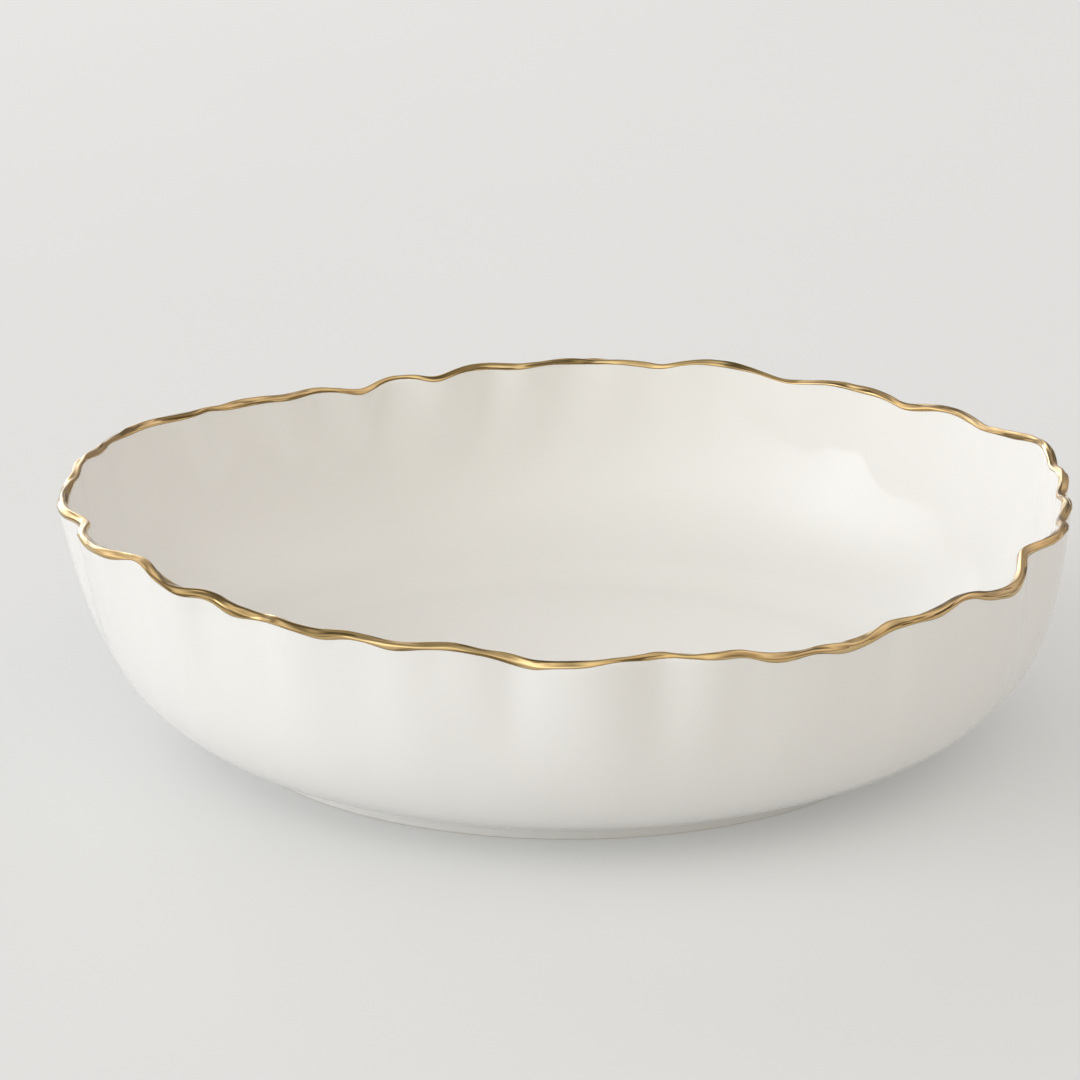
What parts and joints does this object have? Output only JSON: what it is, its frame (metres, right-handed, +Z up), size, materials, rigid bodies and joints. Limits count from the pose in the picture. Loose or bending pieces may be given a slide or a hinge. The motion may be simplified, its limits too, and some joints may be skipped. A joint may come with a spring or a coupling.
{
  "type": "serving bowl",
  "caption": "Wide round porcelain serving bowl with a low foot ring, steep wall and a hand-pinched, petal-edged rim gilded along its lip.",
  "frame": {"origin": "middle of the foot ring, on the surface the bowl stands on", "axes": "+Z up out of the bowl's mouth; +X and +Y across the round body, with the rim's highest swell near +X"},
  "size_m": [0.3043, 0.3013, 0.0768],
  "materials": {
    "porcelain_glaze": "clear gloss glaze over warm white porcelain",
    "foot_porcelain": "gloss glaze with a ground, unglazed standing edge",
    "gold_lustre": "bright fired gold lustre"
  },
  "bodies": {
    "root": {"bowl_body": "porcelain_glaze", "foot_ring": "foot_porcelain", "gold_rim": "gold_lustre"}
  },
  "joints": []
}
